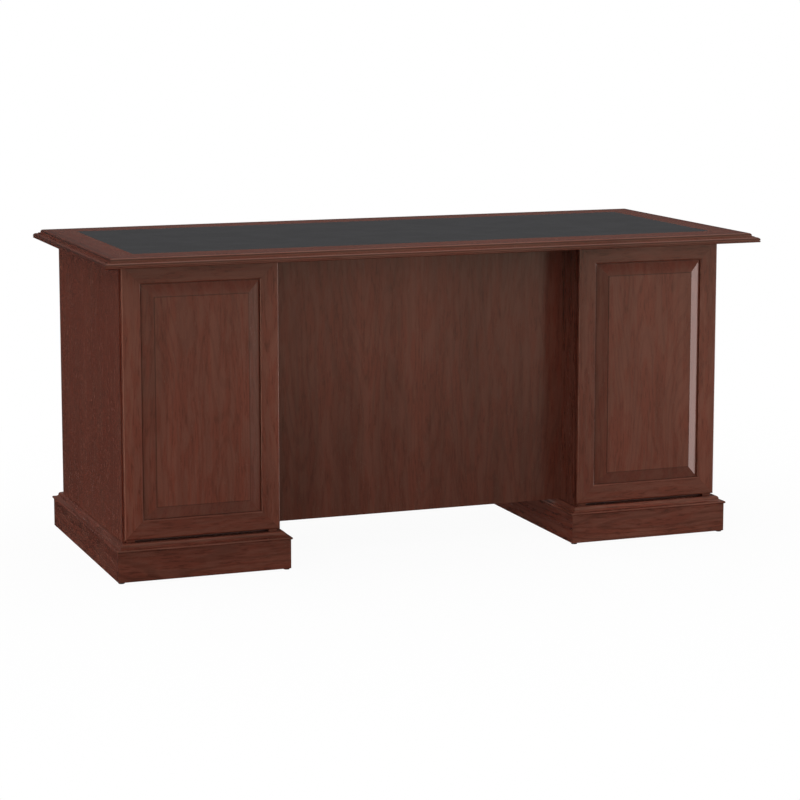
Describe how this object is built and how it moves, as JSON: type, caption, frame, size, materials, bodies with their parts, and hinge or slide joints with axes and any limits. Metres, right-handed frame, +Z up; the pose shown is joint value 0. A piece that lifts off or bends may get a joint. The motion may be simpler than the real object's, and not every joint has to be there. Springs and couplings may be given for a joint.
{
  "type": "executive desk",
  "caption": "Pedestal executive desk in dark cherry: moulded top with a dark writing inlay, raised-panel pedestals on moulded plinths, modesty panel, and drawers on telescopic slides.",
  "frame": {"origin": "on the floor under the middle of the top", "axes": "+X along the desk's width to the visitor's right, -Y towards the visitor, +Y towards the user and the drawers, +Z up"},
  "size_m": [1.66, 0.764, 0.768],
  "materials": {
    "cherry_veneer": "dark cherry veneer with fine straight grain under satin lacquer",
    "cherry_moulding": "dark cherry mouldings and rails, stained to match, under satin lacquer",
    "writing_leather": "fine-grained near-black leather-look inlay, dull satin",
    "carcass_board": "stained board, flat lacquer, where it isn't seen in use",
    "drawer_birch": "clear-lacquered pale birch drawer boards",
    "slide_steel": "zinc-plated pressed steel",
    "antique_brass": "antiqued cast brass, dark in the hollows and rubbed on the high places",
    "glide_plastic": "black moulded nylon"
  },
  "bodies": {
    "desk_frame": {"corner_brackets": "slide_steel", "floor_glides": "glide_plastic", "kneehole_rail": "carcass_board", "left_bottom_panel": "carcass_board", "left_inner_side": "cherry_veneer", "left_outer_side": "cherry_veneer", "left_panel_frame": "cherry_moulding", "left_plinth_boards": "cherry_moulding", "left_plinth_cap": "cherry_moulding", "left_raised_panel": "cherry_veneer", "modesty_panel": "cherry_veneer", "right_bottom_panel": "carcass_board", "right_inner_side": "cherry_veneer", "right_outer_side": "cherry_veneer", "right_panel_frame": "cherry_moulding", "right_plinth_boards": "cherry_moulding", "right_plinth_cap": "cherry_moulding", "right_raised_panel": "cherry_veneer", "slide_case_members": "slide_steel", "top_back_edge": "cherry_moulding", "top_core_panel": "cherry_veneer", "top_front_edge": "cherry_moulding", "top_left_edge": "cherry_moulding", "top_right_edge": "cherry_moulding", "top_stretchers": "carcass_board", "writing_inlay": "writing_leather"},
    "left_upper_drawer": {"left_upper_drawer_box": "drawer_birch", "left_upper_drawer_front": "cherry_veneer", "left_upper_drawer_pull": "antique_brass", "left_upper_drawer_runners": "slide_steel"},
    "left_middle_drawer": {"left_middle_drawer_box": "drawer_birch", "left_middle_drawer_front": "cherry_veneer", "left_middle_drawer_pull": "antique_brass", "left_middle_drawer_runners": "slide_steel"},
    "left_file_drawer": {"left_file_drawer_box": "drawer_birch", "left_file_drawer_folder_rails": "slide_steel", "left_file_drawer_front": "cherry_veneer", "left_file_drawer_pull": "antique_brass", "left_file_drawer_runners": "slide_steel"},
    "left_file_drawer_links": {"left_file_drawer_slide_links": "slide_steel"},
    "right_upper_drawer": {"right_upper_drawer_box": "drawer_birch", "right_upper_drawer_front": "cherry_veneer", "right_upper_drawer_pull": "antique_brass", "right_upper_drawer_runners": "slide_steel"},
    "right_middle_drawer": {"right_middle_drawer_box": "drawer_birch", "right_middle_drawer_front": "cherry_veneer", "right_middle_drawer_pull": "antique_brass", "right_middle_drawer_runners": "slide_steel"},
    "right_file_drawer": {"right_file_drawer_box": "drawer_birch", "right_file_drawer_folder_rails": "slide_steel", "right_file_drawer_front": "cherry_veneer", "right_file_drawer_pull": "antique_brass", "right_file_drawer_runners": "slide_steel"},
    "right_file_drawer_links": {"right_file_drawer_slide_links": "slide_steel"},
    "centre_drawer": {"centre_drawer_box": "drawer_birch", "centre_drawer_front": "cherry_veneer", "centre_drawer_pull": "antique_brass", "centre_drawer_runners": "slide_steel", "lock_barrel": "antique_brass"},
    "lock_cylinder": {"lock_plug": "antique_brass"}
  },
  "joints": [
    {"name": "left_upper_drawer_slide", "type": "slide", "parent": "desk_frame", "child": "left_upper_drawer", "axis": [0, 1, 0], "range_m": [0, 0.34]},
    {"name": "left_middle_drawer_slide", "type": "slide", "parent": "desk_frame", "child": "left_middle_drawer", "axis": [0, 1, 0], "range_m": [0, 0.34]},
    {"name": "left_file_drawer_slide", "type": "slide", "parent": "desk_frame", "child": "left_file_drawer", "axis": [0, 1, 0], "range_m": [0, 0.48]},
    {"name": "left_file_drawer_link_slide", "type": "slide", "parent": "desk_frame", "child": "left_file_drawer_links", "axis": [0, 1, 0], "range_m": [0, 0.24]},
    {"name": "right_upper_drawer_slide", "type": "slide", "parent": "desk_frame", "child": "right_upper_drawer", "axis": [0, 1, 0], "range_m": [0, 0.34]},
    {"name": "right_middle_drawer_slide", "type": "slide", "parent": "desk_frame", "child": "right_middle_drawer", "axis": [0, 1, 0], "range_m": [0, 0.34]},
    {"name": "right_file_drawer_slide", "type": "slide", "parent": "desk_frame", "child": "right_file_drawer", "axis": [0, 1, 0], "range_m": [0, 0.48]},
    {"name": "right_file_drawer_link_slide", "type": "slide", "parent": "desk_frame", "child": "right_file_drawer_links", "axis": [0, 1, 0], "range_m": [0, 0.24]},
    {"name": "centre_drawer_slide", "type": "slide", "parent": "desk_frame", "child": "centre_drawer", "axis": [0, 1, 0], "range_m": [0, 0.26]},
    {"name": "lock_turn", "type": "hinge", "parent": "centre_drawer", "child": "lock_cylinder", "pos_m": [0, 0.3445, 0.699], "axis": [0, 1, 0], "range_deg": [0, 90]}
  ],
  "couplings": [
    {"joint": "left_file_drawer_link_slide", "follows": "left_file_drawer_slide", "ratio": 0.5},
    {"joint": "right_file_drawer_link_slide", "follows": "right_file_drawer_slide", "ratio": 0.5}
  ]
}
